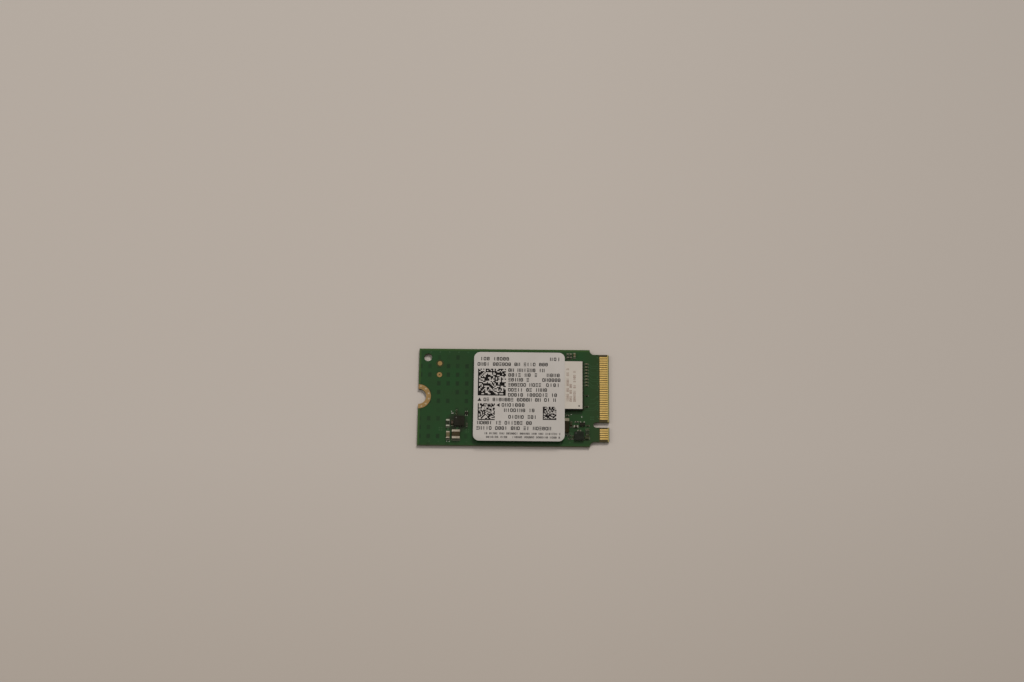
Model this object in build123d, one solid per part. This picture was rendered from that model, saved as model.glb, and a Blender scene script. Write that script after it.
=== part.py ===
from build123d import *
import os

# A 22 x 42 mm solid-state storage card with an M-keyed card edge.
# The card lies flat with its component side up. The origin is the centre of the board's outline
# on its underside, +X runs along the card towards its contacts and +Z is up, in millimetres.

# Board
board_length = 42.0
board_thickness = 0.8
shoulder_step = 1.075
shoulder_radius = 1.0

# Contact pads, numbered 1 to 75, odd numbers on top and even ones half a pitch over underneath
contact_pitch = 0.5
contact_width = 0.35
contact_length = 1.95
contact_setback = 0.25
contact_thickness = 0.04
contact_edge_margin = 0.675
long_row_count = 29
keyed_out_count = 4
short_row_count = 5

# Tongue that enters the socket, with its key slot and bevelled nose
tongue_length = 4.25
tongue_corner = 0.2
bevel_length = 0.25
bevel_depth = 0.12
key_slot_width = 1.2
key_slot_depth = 3.5

# Half-round notch for the fixing screw, with a ring pad on each face
notch_radius = 1.75
ring_width = 1.0
ring_clearance = 0.1

# Tooling hole and bare copper marks, from the notch end and from the centre line
tooling_hole_radius = 0.9
tooling_hole_inset = 1.95
tooling_hole_edge_gap = 2.0
fiducial_radius = 0.5
fiducial_clearance = 0.36
fiducial_inset = 4.6
fiducial_y = 7.6
test_pad_radius = 0.56
test_pad_via_radius = 0.15
test_pad_clearance = 0.1
test_pad_inset = 4.55
test_pad_y = 5.0

# What both ball-grid packages share
ball_height = 0.25
ball_radius = 0.22
ball_sides = 8
ball_rings = 2
ball_edge_margin = 0.7
substrate_thickness = 0.2
mould_draft = 0.06
package_chamfer = 0.05
pin_mark_radius = 0.35
pin_mark_depth = 0.04
pin_mark_inset = 1.1

# Flash memory and controller
flash_length = 12.0
flash_width = 18.0
flash_height = 1.2
flash_ball_pitch = 1.0
controller_side = 11.2
controller_setback = 5.75
controller_y = 2.58
controller_ball_pitch = 0.8
package_gap = 0.65

# Sticker on the controller, and the label that bridges both packages
sticker_margin = 0.17
sticker_thickness = 0.06
label_edge_gap = 0.78
label_y = -0.12
label_overhang = 0.3
label_bare_strip = 4.0
label_thickness = 0.1
label_corner_radius = 1.35

# Chip resistors and capacitors: ceramic between two metal ends
tiny_chip_length = 0.6
tiny_chip_width = 0.3
tiny_chip_height = 0.3
tiny_chip_end = 0.15
small_chip_length = 1.0
small_chip_width = 0.5
small_chip_height = 0.5
small_chip_end = 0.25
large_chip_length = 1.6
large_chip_width = 0.8
large_chip_end = 0.35
large_capacitor_height = 0.8
large_resistor_height = 0.45
end_proud = 0.02
fillet_share = 0.7
fillet_run = 0.13

# Inductors: a powder block between two wrapped metal ends
input_inductor_length = 2.0
input_inductor_width = 1.75
input_inductor_height = 1.0
input_inductor_end = 0.5
core_inductor_length = 3.2
core_inductor_width = 2.5
core_inductor_end = 0.7
core_inductor_label_gap = 0.15
inductor_chamfer = 0.08

# Moulded chips with solder pads along two sides
regulator_side = 2.2
regulator_height = 0.6
regulator_pads = 4
power_chip_length = 2.05
power_chip_width = 1.9
power_chip_height = 0.75
power_chip_pads = 5
load_switch_length = 0.8
load_switch_width = 0.95
load_switch_height = 0.4
load_switch_pads = 2
chip_standoff = 0.05
pad_share = 0.5
pad_length = 0.25
pad_proud = 0.04
pad_height = 0.1

# Three-lead transistor
transistor_length = 1.2
transistor_width = 0.8
transistor_height = 0.5
lead_width = 0.26
lead_reach = 0.28
lead_thickness = 0.12
lead_spread = 0.8

# Crystal: a ceramic tray under a metal lid that is set in from its rim
crystal_length = 2.0
crystal_width = 1.6
crystal_height = 0.5
crystal_rim = 0.15
crystal_lid_thickness = 0.1

# Column of coupling capacitors beside the controller
coupling_count = 8
coupling_pitch = 0.7
coupling_gap = 0.8
coupling_drop = 0.47

# The small parts: name, kind, place of the centre and the way it lies
along = 0
across = 90

# Between the notch and the flash memory: distance from the memory's side, height above the lower edge
notch_side_parts = [
    ("sense_resistor", "large_resistor", 5.76, 4.95, across),
    ("bulk_capacitor", "large_capacitor", 5.68, 2.2, across),
    ("input_inductor", "input_inductor", 3.93, 2.3, across),
    ("input_capacitor", "small_chip", 4.8, 5.0, across),
    ("regulator", "regulator", 3.25, 5.38, along),
    ("filter_capacitor_upper", "tiny_chip", 3.9, 7.64, across),
    ("filter_capacitor_lower", "tiny_chip", 3.9, 6.93, across),
    ("load_switch", "load_switch", 1.71, 7.2, along),
    ("feedback_resistor", "tiny_chip", 1.62, 4.61, across),
]

# Below the controller: distance from its contact side towards the notch, drop from its lower side
power_stage_parts = [
    ("core_inductor", "core_inductor", 4.3, 3.48, across),
    ("strap_resistor", "tiny_chip", 3.45, 1.08, along),
    ("core_capacitor", "small_chip", 2.63, 3.03, across),
    ("gate_resistor", "tiny_chip", 1.39, 2.48, along),
    ("gate_capacitor", "small_chip", 1.56, 3.56, along),
    ("transistor", "transistor", 0.16, 3.08, along),
    ("pull_down_resistor", "tiny_chip", 0.84, 4.48, along),
    ("power_chip", "power_chip", 0.87, 5.78, along),
    ("boost_capacitor", "tiny_chip", 2.19, 5.98, across),
    ("divider_resistor_upper", "tiny_chip", 3.0, 5.6, along),
    ("divider_resistor_lower", "tiny_chip", 2.85, 6.33, along),
    ("output_capacitor", "small_chip", -0.84, 6.16, along),
    ("output_bulk_capacitor", "large_resistor", -0.95, 4.91, across),
    ("sense_capacitor", "tiny_chip", -1.0, 3.33, along),
]

# Above the controller: distance from its contact side towards the notch, rise from its upper side
reset_parts = [
    ("pull_up_resistor_left", "small_chip", 3.35, 1.35, across),
    ("pull_up_resistor_right", "small_chip", 2.65, 1.35, across),
    ("reset_capacitor", "small_chip", 1.85, 1.47, across),
]

# Beside the controller, in line with the coupling capacitors: rise from its lower side
clock_parts = [
    ("clock_capacitor_upper", "tiny_chip", 3.49, along),
    ("clock_capacitor_lower", "tiny_chip", 1.0, along),
]

# Under the label: distance from the flash memory's side, drop from the controller's lower side
covered_parts = [
    ("crystal", "crystal", 2.15, 2.28, along),
    ("crystal_capacitor_left", "tiny_chip", 0.8, 2.28, across),
    ("crystal_capacitor_right", "tiny_chip", 3.5, 2.28, across),
    ("supply_capacitor_left", "small_chip", 1.35, 4.78, along),
    ("supply_capacitor_right", "small_chip", 2.95, 4.78, along),
]

# Worked out from the sizes above
contact_span = (long_row_count + keyed_out_count + short_row_count - 1) * contact_pitch
tongue_width = contact_span + 2 * contact_edge_margin
board_width = tongue_width + 2 * shoulder_step
half_width = board_width / 2
card_end = board_length / 2
notch_end = -card_end
contact_start = card_end - contact_setback - contact_length
past_key = (long_row_count + keyed_out_count) * contact_pitch
key_slot_y = contact_span / 2 - past_key + (keyed_out_count + 1) * contact_pitch / 2 - contact_pitch / 4
ring_radius = notch_radius + ring_width
controller_height = flash_height - sticker_thickness
controller_right = card_end - controller_setback
controller_x = controller_right - controller_side / 2
controller_upper = controller_y + controller_side / 2
controller_lower = controller_y - controller_side / 2
flash_right = controller_right - controller_side - package_gap
flash_x = flash_right - flash_length / 2
flash_left = flash_right - flash_length
label_left = flash_left - label_overhang
label_right = controller_right - label_bare_strip
core_inductor_height = flash_height - core_inductor_label_gap
mask_top = board_thickness - contact_thickness


def plate(sketch, thickness, bottom=0.0):
    """A flat sheet of one thickness, with its underside at the height given."""
    return Pos(0, 0, bottom) * extrude(sketch, thickness)


def block(length, width, height, bottom=0.0):
    """A box centred on the origin in plan, with its underside at the height given."""
    return plate(Rectangle(length, width), height, bottom)


# The board


def shoulder():
    """What is cut away beside the tongue on the +Y side, with its rounded inner corner."""
    cut = Rectangle(tongue_length, shoulder_step, align=(Align.MAX, Align.MIN))
    inner_corner = cut.vertices().sort_by(Axis.Y)[:2].sort_by(Axis.X)[0]
    radius = min(shoulder_radius, 0.95 * shoulder_step)
    return Pos(card_end, tongue_width / 2) * fillet(inner_corner, radius)


def key_slot():
    """The round-ended slot that lets the card enter only an M-keyed socket."""
    slot = Circle(key_slot_width / 2)
    slot += Rectangle(key_slot_depth, key_slot_width, align=(Align.MIN, Align.CENTER))
    return Pos(card_end - key_slot_depth + key_slot_width / 2, key_slot_y) * slot


def tooling_hole():
    x = notch_end + tooling_hole_inset
    return Pos(x, half_width - tooling_hole_edge_gap) * Circle(tooling_hole_radius)


def board_outline():
    outline = Rectangle(board_length, board_width)
    upper_shoulder = shoulder()
    outline -= upper_shoulder
    outline -= mirror(upper_shoulder, Plane.XZ)
    outline = chamfer(outline.vertices().group_by(Axis.X)[-1], tongue_corner)
    outline -= key_slot()
    outline -= Pos(notch_end, 0) * Circle(notch_radius)
    return outline - tooling_hole()


def nose_bevel():
    """The wedge that thins the underside of the tongue's leading edge."""
    tip = (card_end, bevel_depth)
    wedge = Polyline((card_end - bevel_length, 0), (card_end, 0), tip, close=True)
    return extrude(Plane.XZ * make_face(wedge), half_width, both=True)


def fiducial_place():
    return Pos(notch_end + fiducial_inset, fiducial_y)


def test_pad_place():
    return Pos(notch_end + test_pad_inset, test_pad_y)


def circuit_board():
    """The board, with its solder mask open round the contacts, the ring pads and the bare marks."""
    board = plate(board_outline(), board_thickness)
    opening = Pos(contact_start, 0) * Rectangle(
        board_length, board_width, align=(Align.MIN, Align.CENTER)
    )
    opening += Pos(notch_end, 0) * Circle(ring_radius + ring_clearance)
    board -= plate(opening, contact_thickness)
    opening += fiducial_place() * Circle(fiducial_radius + fiducial_clearance)
    opening += test_pad_place() * Circle(test_pad_radius + test_pad_clearance)
    board -= plate(opening, contact_thickness, mask_top)
    bevel = nose_bevel()
    return board - bevel - mirror(bevel, Plane.XY.offset(board_thickness / 2))


# Copper and gold


def contact_row(first_y, count, bottom):
    """Gold pads side by side across the tongue, from first_y towards -Y."""
    pad = Rectangle(contact_length, contact_width, align=(Align.MIN, Align.CENTER))
    pad = plate(Pos(contact_start, first_y) * pad, contact_thickness, bottom)
    return [Pos(0, -i * contact_pitch) * pad for i in range(count)]


def contact_rows():
    """Both faces' contacts. The underside has one fewer past the key slot."""
    top_y = contact_span / 2
    bottom_y = top_y - contact_pitch / 2
    return {
        "top_contacts_long_row": contact_row(top_y, long_row_count, mask_top),
        "top_contacts_short_row": contact_row(top_y - past_key, short_row_count, mask_top),
        "bottom_contacts_long_row": contact_row(bottom_y, long_row_count, 0),
        "bottom_contacts_short_row": contact_row(bottom_y - past_key, short_row_count - 1, 0),
    }


def notch_ring(bottom):
    """The half ring of bare copper that the screw's head presses on."""
    ring = Circle(ring_radius) - Circle(notch_radius)
    ring &= Rectangle(ring_radius, 2 * ring_radius, align=(Align.MIN, Align.CENTER))
    return plate(Pos(notch_end, 0) * ring, contact_thickness, bottom)


def fiducial():
    return plate(fiducial_place() * Circle(fiducial_radius), contact_thickness, mask_top)


def test_pad():
    pad = Circle(test_pad_radius) - Circle(test_pad_via_radius)
    return plate(test_pad_place() * pad, contact_thickness, mask_top)


# Ball-grid packages


def solder_balls(length, width, pitch):
    """The outer rings of a package's ball grid, each ball a short eight-sided post."""
    columns = int((length - 2 * ball_edge_margin) / pitch) + 1
    rows = int((width - 2 * ball_edge_margin) / pitch) + 1
    post = plate(RegularPolygon(ball_radius, ball_sides), ball_height)
    balls = []
    for column in range(columns):
        for row in range(rows):
            ring = min(column, row, columns - 1 - column, rows - 1 - row)
            if ring < ball_rings:
                x = (column - (columns - 1) / 2) * pitch
                y = (row - (rows - 1) / 2) * pitch
                balls.append(Pos(x, y) * post)
    return balls


def ball_grid_package(length, width, height):
    """A moulded cap with drafted sides on a thin laminate, held up by its solder balls."""
    laminate = block(length, width, substrate_thickness, ball_height)
    cap_bottom = ball_height + substrate_thickness
    foot = Pos(0, 0, cap_bottom) * Rectangle(length, width)
    crown = Pos(0, 0, height) * Rectangle(length - 2 * mould_draft, width - 2 * mould_draft)
    cap = loft([foot.face(), crown.face()])
    cap = chamfer(cap.faces().sort_by(Axis.Z)[-1].edges(), package_chamfer)
    mark = Pos(pin_mark_inset - length / 2, pin_mark_inset - width / 2) * Circle(pin_mark_radius)
    return laminate + cap - plate(mark, pin_mark_depth, height - pin_mark_depth)


# Chip parts, each along X and centred on the origin, with its underside at z = 0


def metal_end(length, width, height, end):
    """The wrapped end of a chip on the +X side, with the solder that climbs it from its pad."""
    face = length / 2
    climb = fillet_share * height
    run = fillet_run * height
    profile = Polyline(
        (face - end, 0),
        (face + run, 0),
        (face + run / 3, climb / 3),
        (face, climb),
        (face, height),
        (face - end, height),
        close=True,
    )
    return extrude(Plane.XZ * make_face(profile), width / 2, both=True)


def with_ends(body, length, width, height, end):
    right = metal_end(length, width, height, end)
    return body + right + mirror(right, Plane.YZ)


def ceramic_chip(length, width, height, end):
    """A ceramic body between two metal ends that stand slightly proud of it."""
    body = block(length - end, width - 2 * end_proud, height - 2 * end_proud, end_proud)
    return with_ends(body, length, width, height, end)


def inductor(length, width, height, end):
    """A pressed powder block with chamfered edges between two metal ends."""
    body = block(length - end, width - 2 * end_proud, height - 2 * end_proud, end_proud)
    long_edges = body.edges().filter_by(Axis.X).group_by(Axis.Z)[-1]
    return with_ends(chamfer(long_edges, inductor_chamfer), length, width, height, end)


def leadless_chip(length, width, height, pads):
    """A moulded block held just off the board by the solder pads along two of its sides."""
    chip = block(length, width, height - chip_standoff, chip_standoff)
    chip = chamfer(chip.faces().sort_by(Axis.Z)[-1].edges(), package_chamfer)
    pitch = length / pads
    pad = block(pad_share * pitch, pad_length, pad_height)
    reach = width / 2 + pad_proud - pad_length / 2
    for i in range(pads):
        x = (i - (pads - 1) / 2) * pitch
        chip += Pos(x, reach) * pad
        chip += Pos(x, -reach) * pad
    return chip


def transistor():
    """A small moulded block with two flat leads on one side and one on the other."""
    body = block(
        transistor_length, transistor_width, transistor_height - chip_standoff, chip_standoff
    )
    body = chamfer(body.faces().sort_by(Axis.Z)[-1].edges(), package_chamfer)
    lead = block(lead_width, 2 * lead_reach, lead_thickness)
    side = transistor_width / 2
    body += Pos(-lead_spread / 2, side) * lead
    body += Pos(lead_spread / 2, side) * lead
    return body + Pos(0, -side) * lead


def crystal():
    tray_height = crystal_height - crystal_lid_thickness
    lid_length = crystal_length - 2 * crystal_rim
    lid_width = crystal_width - 2 * crystal_rim
    lid = block(lid_length, lid_width, crystal_lid_thickness, tray_height)
    return block(crystal_length, crystal_width, tray_height) + lid


def part_kinds():
    """One solid of each kind of small part, by name."""
    return {
        "tiny_chip": ceramic_chip(
            tiny_chip_length, tiny_chip_width, tiny_chip_height, tiny_chip_end
        ),
        "small_chip": ceramic_chip(
            small_chip_length, small_chip_width, small_chip_height, small_chip_end
        ),
        "large_capacitor": ceramic_chip(
            large_chip_length, large_chip_width, large_capacitor_height, large_chip_end
        ),
        "large_resistor": ceramic_chip(
            large_chip_length, large_chip_width, large_resistor_height, large_chip_end
        ),
        "input_inductor": inductor(
            input_inductor_length, input_inductor_width, input_inductor_height, input_inductor_end
        ),
        "core_inductor": inductor(
            core_inductor_length, core_inductor_width, core_inductor_height, core_inductor_end
        ),
        "regulator": leadless_chip(
            regulator_side, regulator_side, regulator_height, regulator_pads
        ),
        "power_chip": leadless_chip(
            power_chip_length, power_chip_width, power_chip_height, power_chip_pads
        ),
        "load_switch": leadless_chip(
            load_switch_length, load_switch_width, load_switch_height, load_switch_pads
        ),
        "transistor": transistor(),
        "crystal": crystal(),
    }


# Assembly


def small_parts():
    """Every small part at its place on top of the board."""
    kinds = part_kinds()

    def placed(kind, x, y, turn):
        return Pos(x, y, board_thickness) * Rot(0, 0, turn) * kinds[kind]

    parts = {}
    for name, kind, gap, height, turn in notch_side_parts:
        parts[name] = placed(kind, flash_left - gap, height - half_width, turn)
    for name, kind, inset, drop, turn in power_stage_parts:
        parts[name] = placed(kind, controller_right - inset, controller_lower - drop, turn)
    for name, kind, inset, rise, turn in reset_parts:
        parts[name] = placed(kind, controller_right - inset, controller_upper + rise, turn)
    for name, kind, gap, drop, turn in covered_parts:
        parts[name] = placed(kind, flash_right + gap, controller_lower - drop, turn)
    column_x = controller_right + coupling_gap
    for name, kind, rise, turn in clock_parts:
        parts[name] = placed(kind, column_x, controller_lower + rise, turn)
    for i in range(coupling_count):
        y = controller_upper - coupling_drop - i * coupling_pitch
        parts[f"coupling_capacitor_{i + 1}"] = placed("tiny_chip", column_x, y, along)
    return parts


def packages():
    """The two ball-grid packages and what solders them to the board."""
    flash_place = Pos(flash_x, 0, board_thickness)
    controller_place = Pos(controller_x, controller_y, board_thickness)
    flash_balls = solder_balls(flash_length, flash_width, flash_ball_pitch)
    controller_balls = solder_balls(controller_side, controller_side, controller_ball_pitch)
    flash = ball_grid_package(flash_length, flash_width, flash_height)
    controller = ball_grid_package(controller_side, controller_side, controller_height)
    return {
        "flash_solder_balls": [flash_place * ball for ball in flash_balls],
        "flash_package": flash_place * flash,
        "controller_solder_balls": [controller_place * ball for ball in controller_balls],
        "controller_package": controller_place * controller,
    }


def controller_sticker():
    side = controller_side - 2 * sticker_margin
    sheet = Pos(controller_x, controller_y) * Rectangle(side, side)
    return plate(sheet, sticker_thickness, board_thickness + controller_height)


def main_label():
    width = board_width - 2 * label_edge_gap
    sheet = RectangleRounded(label_right - label_left, width, label_corner_radius)
    sheet = Pos((label_left + label_right) / 2, label_y) * sheet
    return plate(sheet, label_thickness, board_thickness + flash_height)


def storage_card():
    """Every piece of the card by name, each a solid or a list of like solids."""
    return {
        "circuit_board": circuit_board(),
        **contact_rows(),
        "notch_ring_top": notch_ring(mask_top),
        "notch_ring_bottom": notch_ring(0),
        "fiducial_disc": fiducial(),
        "test_pad": test_pad(),
        **packages(),
        **small_parts(),
        "controller_sticker": controller_sticker(),
        "main_label": main_label(),
    }


os.makedirs("parts", exist_ok=True)
for node, shape in storage_card().items():
    pieces = shape if isinstance(shape, list) else [shape]
    export_step(Compound(children=[piece.solid() for piece in pieces]), f"parts/{node}.step")
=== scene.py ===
import math
import random
import bmesh
import bpy
from mathutils import Matrix, Vector


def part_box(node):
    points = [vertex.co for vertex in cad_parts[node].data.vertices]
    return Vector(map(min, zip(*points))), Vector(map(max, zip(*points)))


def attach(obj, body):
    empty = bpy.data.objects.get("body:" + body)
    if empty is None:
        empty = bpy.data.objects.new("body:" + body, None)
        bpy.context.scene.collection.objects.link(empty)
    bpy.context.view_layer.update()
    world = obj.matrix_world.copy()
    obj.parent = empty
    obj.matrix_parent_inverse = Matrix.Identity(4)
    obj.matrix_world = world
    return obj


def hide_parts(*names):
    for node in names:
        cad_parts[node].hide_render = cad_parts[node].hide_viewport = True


# A 22 x 42 mm solid-state storage card with an M-keyed card edge, lying component side up.
# Pieces are modelled in millimetres and brought to metres as they are delivered to the frame.

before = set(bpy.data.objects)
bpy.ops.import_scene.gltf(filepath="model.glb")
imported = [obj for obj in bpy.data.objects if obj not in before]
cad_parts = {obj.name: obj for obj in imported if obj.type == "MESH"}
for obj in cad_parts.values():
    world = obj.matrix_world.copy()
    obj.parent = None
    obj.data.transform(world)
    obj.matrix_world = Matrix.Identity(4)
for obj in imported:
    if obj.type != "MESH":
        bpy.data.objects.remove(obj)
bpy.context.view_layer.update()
MM = 0.001

# Board
MASK_DEPTH = 0.04
EDGE_STRIP = 0.42
BARE_TONGUE_START = 10.0
GREEN_BY_CONTACTS = (15.0, 18.5)
TOP_FACE_START = (0.4, 0.5)

# Openings in the copper beside the notch: axis, place of one of them, pitch and half size
HATCH = (("X", -18.6, 2.05, 0.38), ("Y", 1.0, 2.0, 0.5))
HATCH_END = -9.6

# The dark patch round the regulator: its reach and how far it is moved towards -X and -Y
DARK_PATCH_REACH = 2.75
DARK_PATCH_SHIFT = 0.6
# Width of the painted shade strip along the controller's +X side
CONTROLLER_SHADE_REACH = 0.3

# Contacts
CONTACT_PITCH = 0.5
CONTACT_WIDTH = 0.35
CONTACT_EDGE = 0.014
CONTACT_END = 20.66
CONTACT_SETBACK = 0.15
CONTACT_SHORTFALL = 0.08
LONG_ROW_COUNT = 29

# Chip parts, as they are in the frame
END_PROUD = 0.02
SOLDER_RUN_SHARE = 0.13
SOLDER_CLIMB_SHARE = 0.7
CHIP_STANDOFF = 0.05
PAD_REACH = 0.09
PAD_RIM = 0.03
PAD_THICKNESS = 0.02
PAD_DEPTH = 0.25
PIN_MARK_HEIGHT = 0.004

# Transistor's leads
LEAD_WIDTH = 0.26
LEAD_THICKNESS = 0.1
LEAD_ROOT = 0.16
LEAD_REACH = 0.26
LEAD_SPACING = 0.4
LEAD_OVERLAP = 0.02
LEADS_BEYOND_BODY = 0.56

# Packages
CARRIER_THICKNESS = 0.2
CRYSTAL_LID = 0.1
BALL_RADIUS = 0.25
BALL_EDGE_MARGIN = 0.7
BALL_RINGS = 2
FLASH_BALL_PITCH = 1.0
CONTROLLER_BALL_PITCH = 0.8

# Label
LABEL_CORNER = 1.35
LABEL_EDGE = 0.018
LABEL_DROOP = 0.07
LABEL_DROOP_REACH = 7.5
LABEL_LIFT = 0.004
LABEL_GRID = 1.0
LABEL_INSET_LOW = (0.09, 0.1)
LABEL_INSET_HIGH = (0.05, 0.17)
PRINT_THICKNESS = 0.004

# Tracks and vias under the mask
FINE_TRACK = 0.12
BROAD_TRACK = 0.45
HIDDEN_TRACK = 0.13
TRACK_HEIGHT = 0.012
HIDDEN_TRACK_HEIGHT = 0.01
HIDDEN_TRACK_SINK = 0.004
VIA_RADIUS = 0.18
VIA_HEIGHT = 0.01
VIA_EDGE_PITCH = 2.05
VIA_EDGE_INSET = 0.78
VIA_EDGE_START = 2.6
VIA_EDGE_SPARE = 7.6
VIA_CONTACT_GAP = 0.35
VIA_GROUP_PITCH = 0.5
VIA_GROUPS = ((-10.3, -8.0), (-16.2, -7.6), (17.0, -4.9), (10.2, -9.4))

# Solder-filled holes in the notch's ring
RING_VIA_RADIUS = 0.2
RING_VIA_REACH = 2.38
RING_VIA_TURNS = (78, 47, 17, -13, -45, -72)

# Test pads on the underside
TEST_POINT_RADIUS = 0.45
TEST_POINT_HEIGHT = 0.012
TEST_POINTS = [(-6.4 + 1.7 * i, -8.9) for i in range(6)]
TEST_POINTS += [(9.6, 9.0), (11.3, 9.0), (-15.4, 5.2), (-15.4, 3.5)]

# White legend marks: length, width and place
LEGEND_MARKS = (
    (0.5, 0.13, (-13.41, -3.78)), (0.16, 0.16, (-13.6, -3.35)), (0.12, 0.4, (14.98, -4.35)),
    (0.22, 0.13, (12.67, -3.84)), (0.16, 0.16, (-14.55, -10.14)), (0.16, 0.16, (-13.98, -10.18)),
)

# Light and camera
SKY_LEVEL = 0.36
GLOSS_HORIZON = 0.6
GLOSS_ZENITH = 1.35
LAMP_SIZE = 0.5
LAMP_DISTANCE = 1.6
LIGHT_TINT = (1.0, 0.96, 0.915)
# Each lamp's direction, its level on the card and whether glossy surfaces mirror it
LAMPS = {
    "key_lamp": ((0.25, 0.72, 1.0), 0.56, False),
    "side_lamp": ((-0.8, 0.1, 0.75), 0.09, True),
    "under_lamp": ((-0.25, 0.35, -1.0), 0.38, True),
}
FLOOR_SIZE = 6
FLOOR_LEVEL = -0.00002
TOUCHING = 0.0001
FLOOR_COLOUR = (0.445, 0.39, 0.345)
# Painted light fall-off: the floor's colour towards -Y, in the middle and far off, and its darkening
# towards +X
FLOOR_NEAR = (0.4, 0.357, 0.317)
FLOOR_MIDDLE = (0.454, 0.413, 0.378)
FLOOR_FAR = (0.446, 0.409, 0.376)
FLOOR_NEAR_SPAN = (-75, -12)
FLOOR_FAR_SPAN = (50, 95)
FLOOR_FALL_OFF = 0.12
FLOOR_FALL_OFF_SPAN = (10, 130)
CAMERA_LENS = 59.77
CAMERA_SENSOR = 36
CAMERA_PLACE = (0.6676, -101.154, 361.344)
CAMERA_AZIMUTH = 0.5891
CAMERA_ELEVATION = 72.437


# Modelling helpers


def deselect_all():
    bpy.ops.object.select_all(action="DESELECT")


def activate(piece):
    deselect_all()
    piece.select_set(True)
    bpy.context.view_layer.objects.active = piece


def apply_place(piece):
    activate(piece)
    bpy.ops.object.transform_apply(location=True, rotation=True, scale=True)
    return piece


def block(length, width, height, centre=(0, 0), bottom=0.0):
    """A box with its underside at the height given."""
    deselect_all()
    bpy.ops.mesh.primitive_cube_add(
        size=1, location=(*centre, bottom + height / 2), scale=(length, width, height)
    )
    return apply_place(bpy.context.active_object)


def sheet(length, width, centre=(0, 0), level=0.0):
    """A flat four-sided face, looking up."""
    deselect_all()
    bpy.ops.mesh.primitive_plane_add(size=1, location=(*centre, level))
    face = bpy.context.active_object
    face.scale = (length, width, 1)
    return apply_place(face)


def open_for_edit(piece, kind, action="DESELECT"):
    """Opens a piece with none of its elements selected, or with action SELECT all of them."""
    activate(piece)
    bpy.ops.object.mode_set(mode="EDIT")
    bpy.ops.mesh.select_mode(type=kind)
    bpy.ops.mesh.select_all(action=action)


def close_edit():
    bpy.ops.object.mode_set(mode="OBJECT")


def pick(piece, elements, test):
    """Selects the faces, edges or verts of the open piece that pass the test."""
    mesh = bmesh.from_edit_mesh(piece.data)
    for element in getattr(mesh, elements):
        if test(element):
            element.select_set(True)
    bmesh.update_edit_mesh(piece.data)


def apply_modifier(piece, kind, **settings):
    activate(piece)
    modifier = piece.modifiers.new("shaping", kind)
    for setting, value in settings.items():
        setattr(modifier, setting, value)
    bpy.ops.object.modifier_apply(modifier=modifier.name)
    return piece


def soften(piece, width, segments=2, angle=30):
    """Rounds every edge that turns by more than the angle."""
    limit = math.radians(angle)
    return apply_modifier(
        piece, "BEVEL", width=width, segments=segments, limit_method="ANGLE", angle_limit=limit
    )


def coat(piece, material):
    piece.data.materials.clear()
    piece.data.materials.append(material)
    return piece


def shift(piece, x=0.0, y=0.0, z=0.0, turn=0.0, stretch=(1, 1, 1)):
    """Stretches a piece's mesh, turns it about Z and then moves it."""
    size = Matrix.Diagonal((*stretch, 1))
    piece.data.transform(Matrix.Translation((x, y, z)) @ Matrix.Rotation(turn, 4, "Z") @ size)
    return piece


def copy_of(piece, *place, **changes):
    """A copy with a mesh of its own, shifted as told."""
    twin = piece.copy()
    twin.data = piece.data.copy()
    bpy.context.collection.objects.link(twin)
    return shift(twin, *place, **changes)


def remove(*pieces):
    for piece in pieces:
        bpy.data.objects.remove(piece)


def joined(pieces):
    if len(pieces) == 1:
        return pieces[0]
    deselect_all()
    for piece in pieces:
        piece.select_set(True)
    bpy.context.view_layer.objects.active = pieces[0]
    bpy.ops.object.join()
    return bpy.context.active_object


def scattered(piece, places, level):
    """The piece repeated at each (x, y) place, as one piece."""
    copies = [copy_of(piece, x, y, level) for x, y in places]
    remove(piece)
    return joined(copies)


def deliver(piece, name, slot, *replaced):
    """Brings a piece to metres and hands it to the frame, in place of the nodes named."""
    piece.scale = (MM, MM, MM)
    apply_place(piece)
    bpy.ops.object.shade_smooth_by_angle(angle=math.radians(35))
    piece.name = name
    piece.data.name = name
    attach(piece, "root")
    if replaced:
        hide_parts(*replaced)
    return piece


def node_box(name):
    """A frame node's lowest and highest corners in millimetres."""
    low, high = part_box(name)
    return low / MM, high / MM


def node_middle(name):
    low, high = node_box(name)
    return (low + high) / 2


# Node helpers


def plug(tree, socket, value):
    if isinstance(value, bpy.types.NodeSocket):
        tree.links.new(value, socket)
    elif isinstance(value, tuple) and len(value) == 3 and socket.type == "RGBA":
        socket.default_value = (*value, 1)
    else:
        socket.default_value = value


def add_node(tree, kind, options=None, **inputs):
    """Adds a node, sets its options and fills its inputs with values or other nodes' outputs."""
    made = tree.nodes.new(kind)
    for option, value in (options or {}).items():
        setattr(made, option, value)
    for name, value in inputs.items():
        plug(tree, made.inputs[name.replace("_", " ")], value)
    return made


def calc(tree, operation, *values, clamp=False):
    made = tree.nodes.new("ShaderNodeMath")
    made.operation = operation
    made.use_clamp = clamp
    for socket, value in zip(made.inputs, values):
        plug(tree, socket, value)
    return made.outputs[0]


def times(tree, *values):
    """The product of all the values."""
    product = values[0]
    for value in values[1:]:
        product = calc(tree, "MULTIPLY", product, value)
    return product


def ramp(tree, value, low, high):
    """0 where the value is below low, 1 above high and straight between."""
    made = add_node(tree, "ShaderNodeMapRange", {"clamp": True}, Value=value)
    made.inputs["From Min"].default_value = low
    made.inputs["From Max"].default_value = high
    return made.outputs[0]


def past(tree, value, edge, blur):
    """1 past the edge and 0 before it, blurred both ways. A negative blur swaps the two."""
    return ramp(tree, value, edge - blur, edge + blur)


def mix_colour(tree, share, first, second):
    made = add_node(tree, "ShaderNodeMix", {"data_type": "RGBA"})
    for number, value in ((0, share), (6, first), (7, second)):
        plug(tree, made.inputs[number], value)
    return made.outputs[2]


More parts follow.
